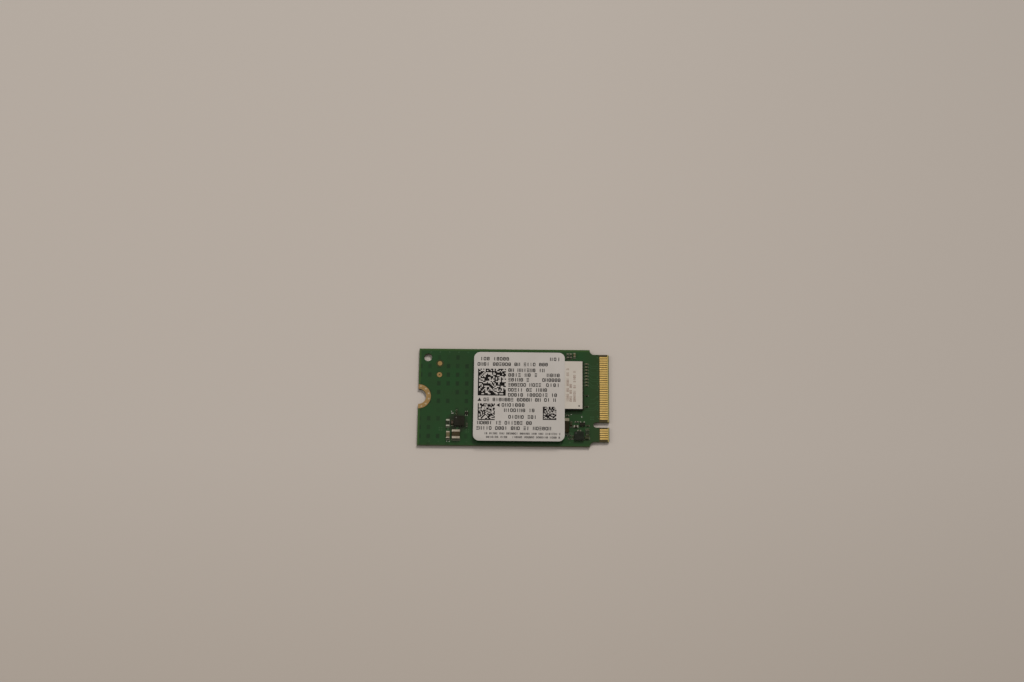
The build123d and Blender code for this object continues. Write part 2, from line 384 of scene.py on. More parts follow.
def mix_shaders(tree, share, first, second, output):
    """Sends a mix of two shaders to the tree's output node."""
    either = add_node(tree, "ShaderNodeMixShader", Fac=share)
    tree.links.new(first.outputs[0], either.inputs[1])
    tree.links.new(second.outputs[0], either.inputs[2])
    tree.links.new(either.outputs[0], tree.nodes[output].inputs["Surface"])


def place_in_mm(tree):
    """Object coordinates in millimetres."""
    coordinates = tree.nodes.new("ShaderNodeTexCoord")
    made = add_node(tree, "ShaderNodeVectorMath", {"operation": "SCALE"})
    plug(tree, made.inputs[0], coordinates.outputs["Object"])
    made.inputs["Scale"].default_value = 1 / MM
    return made.outputs[0]


def split(tree, vector):
    return add_node(tree, "ShaderNodeSeparateXYZ", Vector=vector).outputs


def noise(tree, vector, scale, detail=2.0, roughness=0.5):
    made = add_node(tree, "ShaderNodeTexNoise", Vector=vector, Detail=detail, Roughness=roughness)
    plug(tree, made.inputs["Scale"], scale)
    return made.outputs["Fac"]


# Effects that several materials share


def new_group(name, inputs, outputs):
    """An empty node group. A socket is a colour where its value has parts, and else a number."""
    group = bpy.data.node_groups.new(name, "ShaderNodeTree")
    for side, sockets in (("INPUT", inputs), ("OUTPUT", outputs)):
        for title, value in sockets.items():
            kind = "NodeSocketColor" if isinstance(value, tuple) else "NodeSocketFloat"
            socket = group.interface.new_socket(title, in_out=side, socket_type=kind)
            socket.default_value = value
    entry = group.nodes.new("NodeGroupInput").outputs
    leave = group.nodes.new("NodeGroupOutput").inputs
    return group, entry, leave


def grain_group():
    """Fine random grain of a size in millimetres: a mask, and a height to bump with."""
    inputs = {"Size": 0.1, "Strength": 0.5}
    group, entry, leave = new_group("fine_grain", inputs, {"Mask": 0.0, "Height": 0.0})
    scale = calc(group, "DIVIDE", 1.0, entry["Size"])
    value = noise(group, place_in_mm(group), scale, 3.0, 0.6)
    group.links.new(ramp(group, value, 0.3, 0.7), leave["Mask"])
    group.links.new(times(group, value, entry["Strength"]), leave["Height"])
    return group


def drift_group():
    """A colour that wanders slowly between two shades, with a fine speckle on top."""
    inputs = {"First": (0.5, 0.5, 0.5, 1), "Second": (0.4, 0.4, 0.4, 1), "Size": 1.0, "Speckle": 0.2}
    group, entry, leave = new_group("colour_drift", inputs, {"Colour": (0, 0, 0, 1)})
    place = place_in_mm(group)
    scale = calc(group, "DIVIDE", 1.0, entry["Size"])
    slow = ramp(group, noise(group, place, scale), 0.35, 0.65)
    fine = noise(group, place, times(group, scale, 14.0))
    fine = times(group, calc(group, "SUBTRACT", fine, 0.5), entry["Speckle"])
    share = calc(group, "ADD", slow, fine, clamp=True)
    group.links.new(mix_colour(group, share, entry["First"], entry["Second"]), leave["Colour"])
    return group


def streak_group():
    """Rubbing streaks that run along X, as a connector's springs leave them."""
    group, entry, leave = new_group("rubbed_streaks", {"Width": 0.03, "Length": 1.0}, {"Mask": 0.0})
    across = calc(group, "DIVIDE", 1.0, entry["Width"])
    along = calc(group, "DIVIDE", 1.0, entry["Length"])
    size = add_node(group, "ShaderNodeCombineXYZ", X=along, Y=across, Z=across).outputs[0]
    stretched = add_node(group, "ShaderNodeVectorMath", {"operation": "MULTIPLY"})
    plug(group, stretched.inputs[0], place_in_mm(group))
    plug(group, stretched.inputs[1], size)
    value = noise(group, stretched.outputs[0], 1.0, 1.0)
    group.links.new(ramp(group, value, 0.45, 0.68), leave["Mask"])
    return group


def band_group():
    """1 between two heights in millimetres and 0 elsewhere."""
    group, entry, leave = new_group("height_band", {"Low": 0.0, "High": 1.0}, {"Mask": 0.0})
    height = split(group, place_in_mm(group))["Z"]
    above = calc(group, "GREATER_THAN", height, entry["Low"])
    below = calc(group, "LESS_THAN", height, entry["High"])
    group.links.new(times(group, above, below), leave["Mask"])
    return group


GRAIN = grain_group()
DRIFT = drift_group()
STREAKS = streak_group()
BAND = band_group()


def use_group(tree, group, **inputs):
    made = tree.nodes.new("ShaderNodeGroup")
    made.node_tree = group
    for name, value in inputs.items():
        plug(tree, made.inputs[name], value)
    return made.outputs


def new_material(name, roughness, metallic=0.0, level=0.5):
    """A material with its Principled shader set: its node tree and the shader."""
    material = bpy.data.materials.new(name)
    material.use_nodes = True
    shader = material.node_tree.nodes["Principled BSDF"]
    shader.inputs["Roughness"].default_value = roughness
    shader.inputs["Metallic"].default_value = metallic
    shader.inputs["Specular IOR Level"].default_value = level
    return material, material.node_tree, shader


def bump(tree, shader, height, distance):
    """Feeds a height, in millimetres when distance is 1, to the shader's normal."""
    made = add_node(tree, "ShaderNodeBump", Height=height, Distance=distance * MM)
    tree.links.new(made.outputs["Normal"], shader.inputs["Normal"])


def drifting(
    name, first, second, size=1.0, speckle=0.3, roughness=0.5, metallic=0.0, level=0.5,
    grain=0.08, depth=0.004, rougher=0.15,
):
    """A material whose colour drifts between two shades, with a fine grain in relief and gloss."""
    material, tree, shader = new_material(name, roughness, metallic, level=level)
    colour = use_group(tree, DRIFT, First=first, Second=second, Size=size, Speckle=speckle)
    tree.links.new(colour["Colour"], shader.inputs["Base Color"])
    fine = use_group(tree, GRAIN, Size=grain, Strength=1.0)
    gloss = calc(tree, "MULTIPLY_ADD", fine["Mask"], rougher, roughness)
    tree.links.new(gloss, shader.inputs["Roughness"])
    bump(tree, shader, fine["Height"], depth)
    return material, tree, shader


# Materials of the board


def hatch_mask(tree, place):
    """The grid of small openings in the copper under the mask, beside the notch."""
    axes = split(tree, place)
    cells = []
    insides = []
    for axis, phase, pitch, half in HATCH:
        steps = calc(tree, "DIVIDE", calc(tree, "SUBTRACT", axes[axis], phase), pitch)
        cell = calc(tree, "ROUND", steps)
        off = calc(tree, "ABSOLUTE", calc(tree, "SUBTRACT", steps, cell))
        cells.append(cell)
        insides.append(past(tree, off, half / pitch, -0.02))
    key = add_node(tree, "ShaderNodeCombineXYZ", X=cells[0], Y=cells[1]).outputs[0]
    lot = add_node(tree, "ShaderNodeTexWhiteNoise", {"noise_dimensions": "2D"}, Vector=key)
    strength = ramp(tree, lot.outputs["Value"], 0.12, 0.6)
    return times(tree, *insides, strength, past(tree, axes["X"], HATCH_END, -0.05))


def edge_strip_mask(tree, place, low, high):
    """The strip along the board's edges that the copper planes leave free, faint on the -Y side."""
    axes = split(tree, place)
    side = past(tree, calc(tree, "ABSOLUTE", axes["Y"]), high.y - EDGE_STRIP, 0.04)
    faint = calc(tree, "MULTIPLY_ADD", past(tree, axes["Y"], 0, -0.1), -0.8, 1.0)
    end = past(tree, axes["X"], low.x + EDGE_STRIP, -0.04)
    return calc(tree, "MAXIMUM", times(tree, side, faint), end)


def dark_patch_mask(tree, place):
    """The dark patch on the board round the regulator, with a ragged edge."""
    middle = node_middle("regulator")
    top = node_box("regulator")[1].z
    away = add_node(tree, "ShaderNodeVectorMath", {"operation": "DISTANCE"})
    plug(tree, away.inputs[0], place)
    plug(tree, away.inputs[1], (middle.x - DARK_PATCH_SHIFT, middle.y - DARK_PATCH_SHIFT / 2, top))
    wander = calc(tree, "MULTIPLY_ADD", noise(tree, place, 1.6), 0.9, away.outputs["Value"])
    return times(tree, past(tree, wander, DARK_PATCH_REACH, -0.5), 0.85)


def controller_shade_mask(tree, place):
    """Painted shade: a thin dark strip on the board along the controller's +X side."""
    low, high = node_box("controller_package")
    axes = split(tree, place)
    return times(
        tree,
        past(tree, axes["X"], high.x + CONTROLLER_SHADE_REACH, -0.1),
        past(tree, axes["X"], high.x - 0.05, 0.05),
        past(tree, axes["Y"], low.y, 0.1),
        past(tree, axes["Y"], high.y, -0.1),
    )


def waves(tree, place, direction, scale, distortion):
    made = add_node(
        tree, "ShaderNodeTexWave", {"bands_direction": direction},
        Vector=place, Scale=scale, Distortion=distortion, Detail=3.0,
    )
    return made.outputs["Fac"]


def laminate_colour(tree, place, high):
    """Bare laminate: tan on the tongue, dark round the marks by the notch, layered on the edges."""
    weave = waves(tree, place, "DIAGONAL", 2.2, 2.0)
    gap = mix_colour(tree, weave, (0.03, 0.024, 0.009), (0.055, 0.043, 0.017))
    end = mix_colour(tree, weave, (0.36, 0.29, 0.105), (0.43, 0.35, 0.135))
    along = split(tree, place)["X"]
    tan = mix_colour(tree, ramp(tree, along, CONTACT_END, CONTACT_END + 0.05), gap, end)
    face = mix_colour(tree, past(tree, along, BARE_TONGUE_START, 0.1), (0.026, 0.036, 0.012), tan)
    layers = waves(tree, place, "Z", 2.6, 1.2)
    wall = mix_colour(tree, layers, (0.045, 0.056, 0.02), (0.1, 0.1, 0.038))
    inside = use_group(tree, BAND, Low=MASK_DEPTH + 0.005, High=high.z - MASK_DEPTH - 0.005)["Mask"]
    return mix_colour(tree, inside, face, wall)


def board_material():
    """Green solder mask over copper and laminate, and bare laminate where the mask is open."""
    material, tree, shader = new_material("solder_mask_green", 0.3, level=0.3)
    low, high = node_box("circuit_board")
    place = place_in_mm(tree)
    axes = split(tree, place)
    drift = use_group(
        tree, DRIFT, First=(0.0072, 0.0425, 0.0098), Second=(0.0092, 0.038, 0.0095), Size=5.0, Speckle=0.25
    )
    on_top = ramp(tree, axes["Z"], *TOP_FACE_START)
    green = drift["Colour"]
    for mask, colour in (
        (ramp(tree, axes["X"], *GREEN_BY_CONTACTS), (0.0125, 0.034, 0.0085)),
        (hatch_mask(tree, place), (0.0048, 0.022, 0.0058)),
        (times(tree, dark_patch_mask(tree, place), on_top), (0.0075, 0.0115, 0.005)),
        # Painted shade: a dark strip on the board along the controller's +X side
        (times(tree, controller_shade_mask(tree, place), on_top), (0.006, 0.017, 0.002)),
        (edge_strip_mask(tree, place, low, high), (0.021, 0.06, 0.012)),
    ):
        green = mix_colour(tree, mask, green, colour)
    core = use_group(tree, BAND, Low=MASK_DEPTH / 2, High=high.z - MASK_DEPTH / 2)["Mask"]
    colour = mix_colour(tree, core, green, laminate_colour(tree, place, high))
    tree.links.new(colour, shader.inputs["Base Color"])
    fine = use_group(tree, GRAIN, Size=0.16, Strength=1.0)
    gloss = calc(tree, "MULTIPLY_ADD", fine["Mask"], 0.08, 0.27)
    gloss = calc(tree, "MULTIPLY_ADD", core, 0.3, gloss)
    tree.links.new(gloss, shader.inputs["Roughness"])
    bump(tree, shader, fine["Height"], 0.01)
    return material


def gold_material():
    """Hard gold over nickel, rubbed along X where the socket's springs slide."""
    material, tree, shader = new_material("hard_gold", 0.3, 1.0)
    streaks = use_group(tree, STREAKS, Width=0.035, Length=1.4)["Mask"]
    drift = use_group(
        tree, DRIFT, First=(0.97, 0.72, 0.235), Second=(0.84, 0.61, 0.19), Size=0.9, Speckle=0.5
    )
    wear = calc(tree, "MULTIPLY", streaks, 0.55)
    worn = mix_colour(tree, wear, drift["Colour"], (1.0, 0.84, 0.44))
    tree.links.new(worn, shader.inputs["Base Color"])
    tree.links.new(calc(tree, "MULTIPLY_ADD", streaks, 0.2, 0.26), shader.inputs["Roughness"])
    fine = use_group(tree, GRAIN, Size=0.05, Strength=1.0)
    height = calc(tree, "MULTIPLY_ADD", streaks, -0.4, fine["Height"])
    bump(tree, shader, height, 0.004)
    return material


# Materials of the packages, the chip parts and the print


def recolour(tree, shader, mask, colour):
    """Lays another colour over the shader's own where the mask is 1."""
    base = shader.inputs["Base Color"]
    tree.links.new(mix_colour(tree, mask, base.links[0].from_socket, colour), base)


def package_material():
    """Black moulding compound on a green-brown laminate carrier."""
    material, tree, shader = drifting(
        "black_compound", (0.014, 0.0145, 0.015), (0.02, 0.02, 0.021),
        size=2.0, roughness=0.48, grain=0.06, depth=0.006, level=0.25,
    )
    carrier_top = node_box("flash_package")[0].z + CARRIER_THICKNESS
    carrier = use_group(tree, BAND, Low=0.0, High=carrier_top)["Mask"]
    layers = waves(tree, place_in_mm(tree), "Z", 5.0, 0.0)
    recolour(tree, shader, carrier, mix_colour(tree, layers, (0.03, 0.05, 0.018), (0.09, 0.08, 0.035)))
    return material


def crystal_material():
    """A ceramic tray below a dull metal lid."""
    material, tree, shader = drifting(
        "crystal_can", (0.05, 0.045, 0.04), (0.07, 0.065, 0.055), roughness=0.4, grain=0.05
    )
    top = node_box("crystal")[1].z
    lid = use_group(tree, BAND, Low=top - CRYSTAL_LID, High=top + 1)["Mask"]
    recolour(tree, shader, lid, (0.62, 0.58, 0.5))
    tree.links.new(lid, shader.inputs["Metallic"])
    return material


def paper_material(name, first, second, roughness):
    """A printed sheet: nearly even, with faint fibres and clouding."""
    return drifting(
        name, first, second, size=3.5, speckle=0.35, roughness=roughness, level=0.35,
        grain=0.12, depth=0.003, rougher=0.1,
    )[0]


METAL = {"metallic": 1.0}
POWDER = {"speckle": 0.7, "depth": 0.02, "level": 0.25}
MOULD = {"level": 0.22}
TRACK = {"level": 0.45, "grain": 0.16}

# Drifting finishes: both shades, size of the drift in millimetres, roughness and other settings
FINISH_SETTINGS = {
    "solder": ((0.25, 0.27, 0.225), (0.175, 0.19, 0.158), 0.3, 0.28, METAL),
    "tin": ((0.6, 0.575, 0.49), (0.47, 0.45, 0.375), 0.5, 0.36, METAL),
    "pale_tin": ((0.6, 0.66, 0.57), (0.47, 0.52, 0.44), 0.5, 0.36, METAL),
    "dull_tin": ((0.34, 0.37, 0.285), (0.25, 0.27, 0.205), 0.4, 0.42, METAL),
    "dim_tin": ((0.09, 0.118, 0.062), (0.065, 0.087, 0.045), 0.4, 0.45, METAL),
    "core_tin": ((0.37, 0.37, 0.29), (0.29, 0.29, 0.22), 0.5, 0.38, METAL),
    # A darker copy of the tin: painted shade on chip ends that lie in shade
    "shaded_tin": ((0.05, 0.043, 0.023), (0.034, 0.029, 0.014), 0.4, 0.5, METAL),
    "hole_solder": ((0.66, 0.58, 0.42), (0.5, 0.43, 0.3), 0.2, 0.34, METAL),
    "alumina": ((0.5, 0.48, 0.44), (0.4, 0.38, 0.34), 0.4, 0.55, {}),
    "glaze": ((0.008, 0.014, 0.005), (0.014, 0.022, 0.01), 0.4, 0.3, {"level": 0.3}),
    "tan": ((0.103, 0.086, 0.039), (0.075, 0.063, 0.029), 0.5, 0.4, {}),
    "pale_tan": ((0.155, 0.15, 0.08), (0.125, 0.122, 0.065), 0.5, 0.4, {}),
    "drab": ((0.03, 0.035, 0.015), (0.022, 0.026, 0.011), 0.5, 0.45, {"level": 0.3}),
    "dark": ((0.045, 0.032, 0.022), (0.03, 0.022, 0.016), 0.5, 0.4, {}),
    "brown_powder": ((0.042, 0.031, 0.014), (0.03, 0.022, 0.01), 0.25, 0.6, POWDER),
    "black_powder": ((0.008, 0.007, 0.0015), (0.011, 0.0095, 0.003), 0.25, 0.6, POWDER),
    "olive_mould": ((0.0065, 0.007, 0.0035), (0.0105, 0.0105, 0.0065), 0.6, 0.42, MOULD),
    "blue_mould": ((0.006, 0.0095, 0.0055), (0.01, 0.0135, 0.009), 0.6, 0.38, MOULD),
    "laser_mark": ((0.13, 0.13, 0.12), (0.09, 0.09, 0.085), 0.2, 0.7, {}),
    "covered_track": ((0.0115, 0.054, 0.0145), (0.015, 0.047, 0.0145), 2.0, 0.36, TRACK),
    "legend_ink": ((0.42, 0.41, 0.37), (0.34, 0.33, 0.3), 0.3, 0.6, {"speckle": 0.6}),
    "black_ink": ((0.005, 0.004, 0.004), (0.01, 0.009, 0.009), 0.6, 0.6, {"speckle": 0.6, "level": 0.12}),
    "faint_ink": ((0.2, 0.14, 0.115), (0.28, 0.21, 0.17), 0.6, 0.6, {"speckle": 0.8}),
}

FINISH = {
    name: drifting(f"{name}_surface", first, second, size=size, roughness=roughness, **others)[0]
    for name, (first, second, size, roughness, others) in FINISH_SETTINGS.items()
}
MASK = board_material()
GOLD = gold_material()
COPPER = drifting(
    "salmon_copper", (0.48, 0.33, 0.148), (0.4, 0.28, 0.123), size=0.7, speckle=0.5,
    roughness=0.36, metallic=1.0, grain=0.07, depth=0.006, rougher=0.16,
)[0]
COMPOUND = package_material()
CRYSTAL = crystal_material()
LABEL_WHITE = paper_material("label_white", (0.425, 0.402, 0.378), (0.405, 0.382, 0.358), 0.42)
STICKER_CREAM = paper_material("sticker_cream", (0.45, 0.417, 0.37), (0.43, 0.393, 0.345), 0.5)


def finish_node(name, material):
    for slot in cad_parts[name].material_slots:
        slot.material = material


# Solder


def solder_mound(width, run, climb):
    """Solder that climbs a chip's end in a hollow curve, from x = 0 outwards."""
    mound = block(1, width, 1, centre=(0.5, 0))
    open_for_edit(mound, "EDGE")
    pick(mound, "edges", lambda edge: all(v.co.x > 0.9 and v.co.z > 0.9 for v in edge.verts))
    bpy.ops.mesh.bevel(offset=0.94, segments=5, profile=0.22, affect="EDGES")
    close_edit()
    mound.scale = (run, 1, climb)
    apply_place(mound)
    soften(mound, 0.12 * width, 2, 80)
    return coat(mound, FINISH["solder"])


# Chip parts, each along X and centred on the origin, with its underside at z = 0
# A size is a chip's length without its solder, its width and its height.


def chip_end(size, end, rounding, finish):
    """The metal end at +X."""
    length, width, height = size
    cap = block(end, width, height, centre=((length - end) / 2, 0))
    soften(cap, rounding, 3)
    return coat(cap, FINISH[finish])


def solder_at_end(size):
    """The solder at the +X end, on a pad that shows round it."""
    length, width, height = size
    run = SOLDER_RUN_SHARE * height
    mound = shift(solder_mound(width, run, SOLDER_CLIMB_SHARE * height), x=length / 2)
    pad = block(2 * (run + PAD_REACH), width + 2 * PAD_RIM, PAD_THICKNESS, centre=(length / 2, 0))
    soften(pad, 0.4 * PAD_THICKNESS)
    return joined([mound, coat(pad, FINISH["solder"])])


def chip_body(size, end, rounding, finish):
    """The block that runs into both metal ends, a little inside their outline."""
    length, width, height = size
    body = block(length - end, width - 2 * END_PROUD, height - 2 * END_PROUD, bottom=END_PROUD)
    soften(body, rounding)
    return coat(body, FINISH[finish])


def between_ends(body, size, end, rounding, end_finishes):
    """The body between two metal ends on solder, the +X end in the first finish."""
    pieces = [body]
    for finish, turn in zip(end_finishes, (0.0, math.pi)):
        for piece in (chip_end(size, end, rounding, finish), solder_at_end(size)):
            pieces.append(shift(piece, turn=turn))
    return joined(pieces)


def ceramic_capacitor(size, end, body_finish, end_finishes):
    body = chip_body(size, end, 0.1 * size[1], body_finish)
    return between_ends(body, size, end, 0.12 * size[1], end_finishes)


def chip_resistor(size, end, end_finish):
    """A white ceramic slab with a black glaze on top, between two plated ends."""
    length, width, height = size
    slab = chip_body(size, end, 0.05 * width, "alumina")
    glaze_length = length - 2 * end + 0.02
    glaze = block(glaze_length, width - 3 * END_PROUD, 2 * END_PROUD, bottom=height - 2.4 * END_PROUD)
    soften(glaze, 0.6 * END_PROUD)
    body = joined([slab, coat(glaze, FINISH["glaze"])])
    return between_ends(body, size, end, 0.08 * width, (end_finish, end_finish))


def power_inductor(size, end, body_finish, end_finishes):
    """A pressed powder block held between two folded metal terminals."""
    return between_ends(chip_body(size, end, 0.08, body_finish), size, end, 0.06, end_finishes)


def disc(radius, height, vertices):
    """A short closed cylinder standing on z = 0."""
    deselect_all()
    bpy.ops.mesh.primitive_cylinder_add(
        vertices=vertices, radius=radius, depth=height, location=(0, 0, height / 2)
    )
    return apply_place(bpy.context.active_object)


def inset_top(piece, *steps):
    """Insets the flat top step by step: each is how far inwards and how far up."""
    open_for_edit(piece, "FACE")
    pick(piece, "faces", lambda face: face.normal.z > 0.9)
    for inwards, up in steps:
        bpy.ops.mesh.inset(thickness=inwards, depth=up)
    close_edit()
    return piece


def pin_mark(radius, x, y, top):
    """A shallow ring burnt into a chip's top beside its first pin."""
    mark = inset_top(disc(radius, PIN_MARK_HEIGHT, 20), (0.35 * radius, -PIN_MARK_HEIGHT / 2))
    return coat(shift(mark, x, y, top), FINISH["laser_mark"])


def leadless_chip(size, pads, finish, reach, pad_finish):
    """A moulded block just off the board, on pads that reach out of two of its sides."""
    length, full_width, height = size
    width = full_width - 2 * reach
    body = block(length, width, height - CHIP_STANDOFF, bottom=CHIP_STANDOFF)
    soften(body, 0.03)
    coat(body, FINISH[finish])
    pitch = length / pads
    pad_middle = full_width / 2 - PAD_DEPTH / 2
    near_pads = []
    for i in range(pads):
        pad = block(0.5 * pitch, PAD_DEPTH, 0.1, centre=((i - (pads - 1) / 2) * pitch, pad_middle))
        soften(pad, 0.03)
        near_pads.append(coat(pad, FINISH[pad_finish]))
    far_pads = [copy_of(pad, turn=math.pi) for pad in near_pads]
    inset = 0.18 * width
    mark = pin_mark(0.05 * width, inset - length / 2, width / 2 - inset, height)
    return joined([body, mark] + near_pads + far_pads)


def gull_wing_lead(finish):
    """A lead that leaves a body at its root's height, steps down to the board and runs out flat."""
    lead = block(LEAD_WIDTH, 0.1, LEAD_THICKNESS, bottom=LEAD_ROOT)
    for out, down in ((0.3, 0.25), (0.2, 0.75), (0.45, 0)):
        open_for_edit(lead, "FACE")
        outer = max(v.co.y for v in lead.data.vertices)
        pick(lead, "faces", lambda face: all(v.co.y > outer - 1e-4 for v in face.verts))
        move = (0, out * LEAD_REACH, -down * LEAD_ROOT)
        bpy.ops.mesh.extrude_region_move(TRANSFORM_OT_translate={"value": move})
        close_edit()
    soften(lead, 0.02)
    return coat(lead, FINISH[finish])


def three_lead_transistor(length, width, height):
    body = block(length, width, height - CHIP_STANDOFF, bottom=CHIP_STANDOFF)
    open_for_edit(body, "FACE")
    pick(body, "faces", lambda face: face.normal.z > 0.9)
    bpy.ops.transform.resize(value=(0.93, 0.9, 1))
    close_edit()
    soften(body, 0.03)
    coat(body, FINISH["olive_mould"])
    root = width / 2 - LEAD_OVERLAP
    pair = [shift(gull_wing_lead("pale_tin"), x=x, y=root) for x in (-LEAD_SPACING, LEAD_SPACING)]
    # The single lead at -Y is a far darker tin than the pair at +Y: painted shade from the body
    single = shift(gull_wing_lead("dim_tin"), y=-root, turn=math.pi)
    return joined([body] + pair + [single])


# Where the small parts are, by the kind of part

# Each kind's end length, its body's finish, its +X or +Y end's and its other end's, and its slot
CAPACITOR_KINDS = {
    "tiny_tan": (0.15, "tan", "dull_tin", "dull_tin", "ceramic_tan"),
    "tiny_pale": (0.15, "pale_tan", "dim_tin", "dull_tin", "ceramic_tan"),
    "tiny_drab": (0.15, "drab", "dim_tin", "dim_tin", "ceramic_tan"),
    "small_tan": (0.25, "tan", "dull_tin", "dull_tin", "ceramic_tan"),
    # The far end of the next kind and both ends of the one after are painted shade: a darker copy of the
    # tin
    "small_drab": (0.25, "drab", "dim_tin", "shaded_tin", "ceramic_tan"),
    "small_shaded": (0.25, "dark", "shaded_tin", "shaded_tin", "ceramic_tan"),
    "small_dark": (0.25, "drab", "dim_tin", "dim_tin", "ceramic_dark"),
    "small_dark_bright": (0.25, "dark", "pale_tin", "pale_tin", "ceramic_dark"),
    "large_tan": (0.35, "tan", "tin", "tin", "ceramic_tan"),
}

CAPACITORS = {
    "tiny_tan": ["crystal_capacitor_left", "crystal_capacitor_right"],
    "tiny_pale": [f"coupling_capacitor_{i + 1}" for i in range(8)],
    "tiny_drab": [
        "filter_capacitor_upper", "filter_capacitor_lower", "boost_capacitor", "sense_capacitor",
        "clock_capacitor_upper", "clock_capacitor_lower",
    ],
    "small_tan": ["reset_capacitor", "supply_capacitor_left", "supply_capacitor_right"],
    "small_drab": ["core_capacitor"],
    "small_shaded": ["input_capacitor"],
    "small_dark": ["output_capacitor"],
    "small_dark_bright": ["gate_capacitor"],
    "large_tan": ["bulk_capacitor"],
}


# Resistors, and one dark capacitor glazed like them, by end length and the ends' finish
RESISTORS = {
    (0.15, "dull_tin"): ["strap_resistor", "gate_resistor", "pull_down_resistor"],
    (0.15, "dim_tin"): ["feedback_resistor", "divider_resistor_upper", "divider_resistor_lower"],
    (0.25, "dull_tin"): ["pull_up_resistor_left", "pull_up_resistor_right"],
    (0.35, "pale_tin"): ["sense_resistor"],
    (0.35, "dim_tin"): ["output_bulk_capacitor"],
}


def chip_size(name):
    """A chip node's length without its solder, its width and its height, from its box."""
    low, high = node_box(name)
    size = high - low
    return max(size.x, size.y) - 2 * SOLDER_RUN_SHARE * size.z, min(size.x, size.y), size.z


def place_copies(prototype, names, slot):
    """Puts a copy of one modelled part at each of the nodes named, turned the way the node lies."""
    for name in names:
        low, high = node_box(name)
        middle = node_middle(name)
        turn = math.pi / 2 if high.y - low.y > high.x - low.x else 0.0
        deliver(copy_of(prototype, middle.x, middle.y, low.z, turn), f"{name}_detail", slot, name)
    remove(prototype)


def place_chips():
    for kind, names in CAPACITORS.items():
        end, finish, near_finish, far_finish, slot = CAPACITOR_KINDS[kind]
        capacitor = ceramic_capacitor(chip_size(names[0]), end, finish, (near_finish, far_finish))
        place_copies(capacitor, names, slot)
    for (end, end_finish), names in RESISTORS.items():
        place_copies(chip_resistor(chip_size(names[0]), end, end_finish), names, "resistor_black")
    for name, end, finish, end_finishes, slot in (
        ("input_inductor", 0.5, "brown_powder", ("tin", "tin"), "powder_brown"),
        # The core inductor's -Y terminal is painted shade: a far darker tin than on its +Y one
        ("core_inductor", 0.7, "black_powder", ("core_tin", "shaded_tin"), "powder_black"),
    ):
        place_copies(power_inductor(chip_size(name), end, finish, end_finishes), [name], slot)


def place_moulded_chip(chip, name):
    middle = node_middle(name)
    shift(chip, middle.x, middle.y, node_box(name)[0].z)
    deliver(chip, f"{name}_detail", "chip_silicon", name)


def place_moulded_chips():
    for name, pads, finish, reach, pad_finish in (
        ("regulator", 4, "olive_mould", 0.04, "solder"),
        ("power_chip", 5, "blue_mould", 0.04, "solder"),
        ("load_switch", 2, "olive_mould", 0.18, "pale_tin"),
    ):
        low, high = node_box(name)
        place_moulded_chip(leadless_chip(high - low, pads, finish, reach, pad_finish), name)
    low, high = node_box("transistor")
    length, width, height = high - low
    chip = three_lead_transistor(length, width - LEADS_BEYOND_BODY, height)
    place_moulded_chip(chip, "transistor")


# Solder balls under the two packages


def solder_ball(height):
    """A ball pressed flat where it meets the board and the package."""
    deselect_all()
    bpy.ops.mesh.primitive_uv_sphere_add(segments=12, ring_count=8, radius=BALL_RADIUS)
    ball = bpy.context.active_object
    for side in (1, -1):
        open_for_edit(ball, "FACE", "SELECT")
        bpy.ops.mesh.bisect(
            plane_co=(0, 0, side * height / 2), plane_no=(0, 0, side), clear_outer=True, use_fill=True
        )
        close_edit()
    return coat(ball, FINISH["solder"])


def grid_places(package, pitch, rings, between=0):
    """The outer rings of a package's ball grid or, with between 1, of the grid between its balls."""
    low, high = node_box(package)
    centre = node_middle(package)
    columns = int((high.x - low.x - 2 * BALL_EDGE_MARGIN + 1e-3) / pitch) + 1 - between
    rows = int((high.y - low.y - 2 * BALL_EDGE_MARGIN + 1e-3) / pitch) + 1 - between
    return [
        (centre.x + (column - (columns - 1) / 2) * pitch, centre.y + (row - (rows - 1) / 2) * pitch)
        for column in range(columns)
        for row in range(rows)
        if min(column, row, columns - 1 - column, rows - 1 - row) < rings
    ]


def place_balls(package, balls, pitch):
    board_top = node_box("circuit_board")[1].z
    height = node_box(balls)[1].z - board_top
    places = grid_places(package, pitch, BALL_RINGS)
    whole = scattered(solder_ball(height), places, board_top + height / 2)
    deliver(whole, f"{balls}_detail", "solder", balls)


# Contacts


def place_contacts():
    """Rows of gold pads whose plated edges are slightly round."""
    for row in (
        "top_contacts_long_row", "top_contacts_short_row",
        "bottom_contacts_long_row", "bottom_contacts_short_row",
    ):
        low, high = node_box(row)
        start = low.x + CONTACT_SETBACK
        end = high.x - CONTACT_SHORTFALL
        pad = block(end - start, CONTACT_WIDTH, high.z - low.z)
        soften(pad, CONTACT_EDGE)
        coat(pad, GOLD)
        count = round((high.y - low.y - CONTACT_WIDTH) / CONTACT_PITCH) + 1
        first = low.y + CONTACT_WIDTH / 2
        places = [((start + end) / 2, first + i * CONTACT_PITCH) for i in range(count)]
        deliver(scattered(pad, places, low.z), f"{row}_detail", "gold", row)


# The label and its print


def support_distance(x, y):
    """How far a point of the label lies outside both of the packages that carry it."""
    distances = []
    for name in ("flash_package", "controller_sticker"):
        low, high = node_box(name)
        beyond_x = max(low.x - x, x - high.x, 0)
        beyond_y = max(low.y - y, y - high.y, 0)
        distances.append(math.hypot(beyond_x, beyond_y))
    return min(distances)


def droop(x, y):
    """How far the label hangs below its supports' level at a point."""
    share = min(support_distance(x, y) / LABEL_DROOP_REACH, 1)
    return LABEL_DROOP * share * share * (3 - 2 * share) + LABEL_LIFT * min(share * 20, 1)


def drape(piece):
    """Lets a flat piece at the label's level follow the label's droop."""
    for vertex in piece.data.vertices:
        vertex.co.z -= droop(vertex.co.x, vertex.co.y)
    return piece


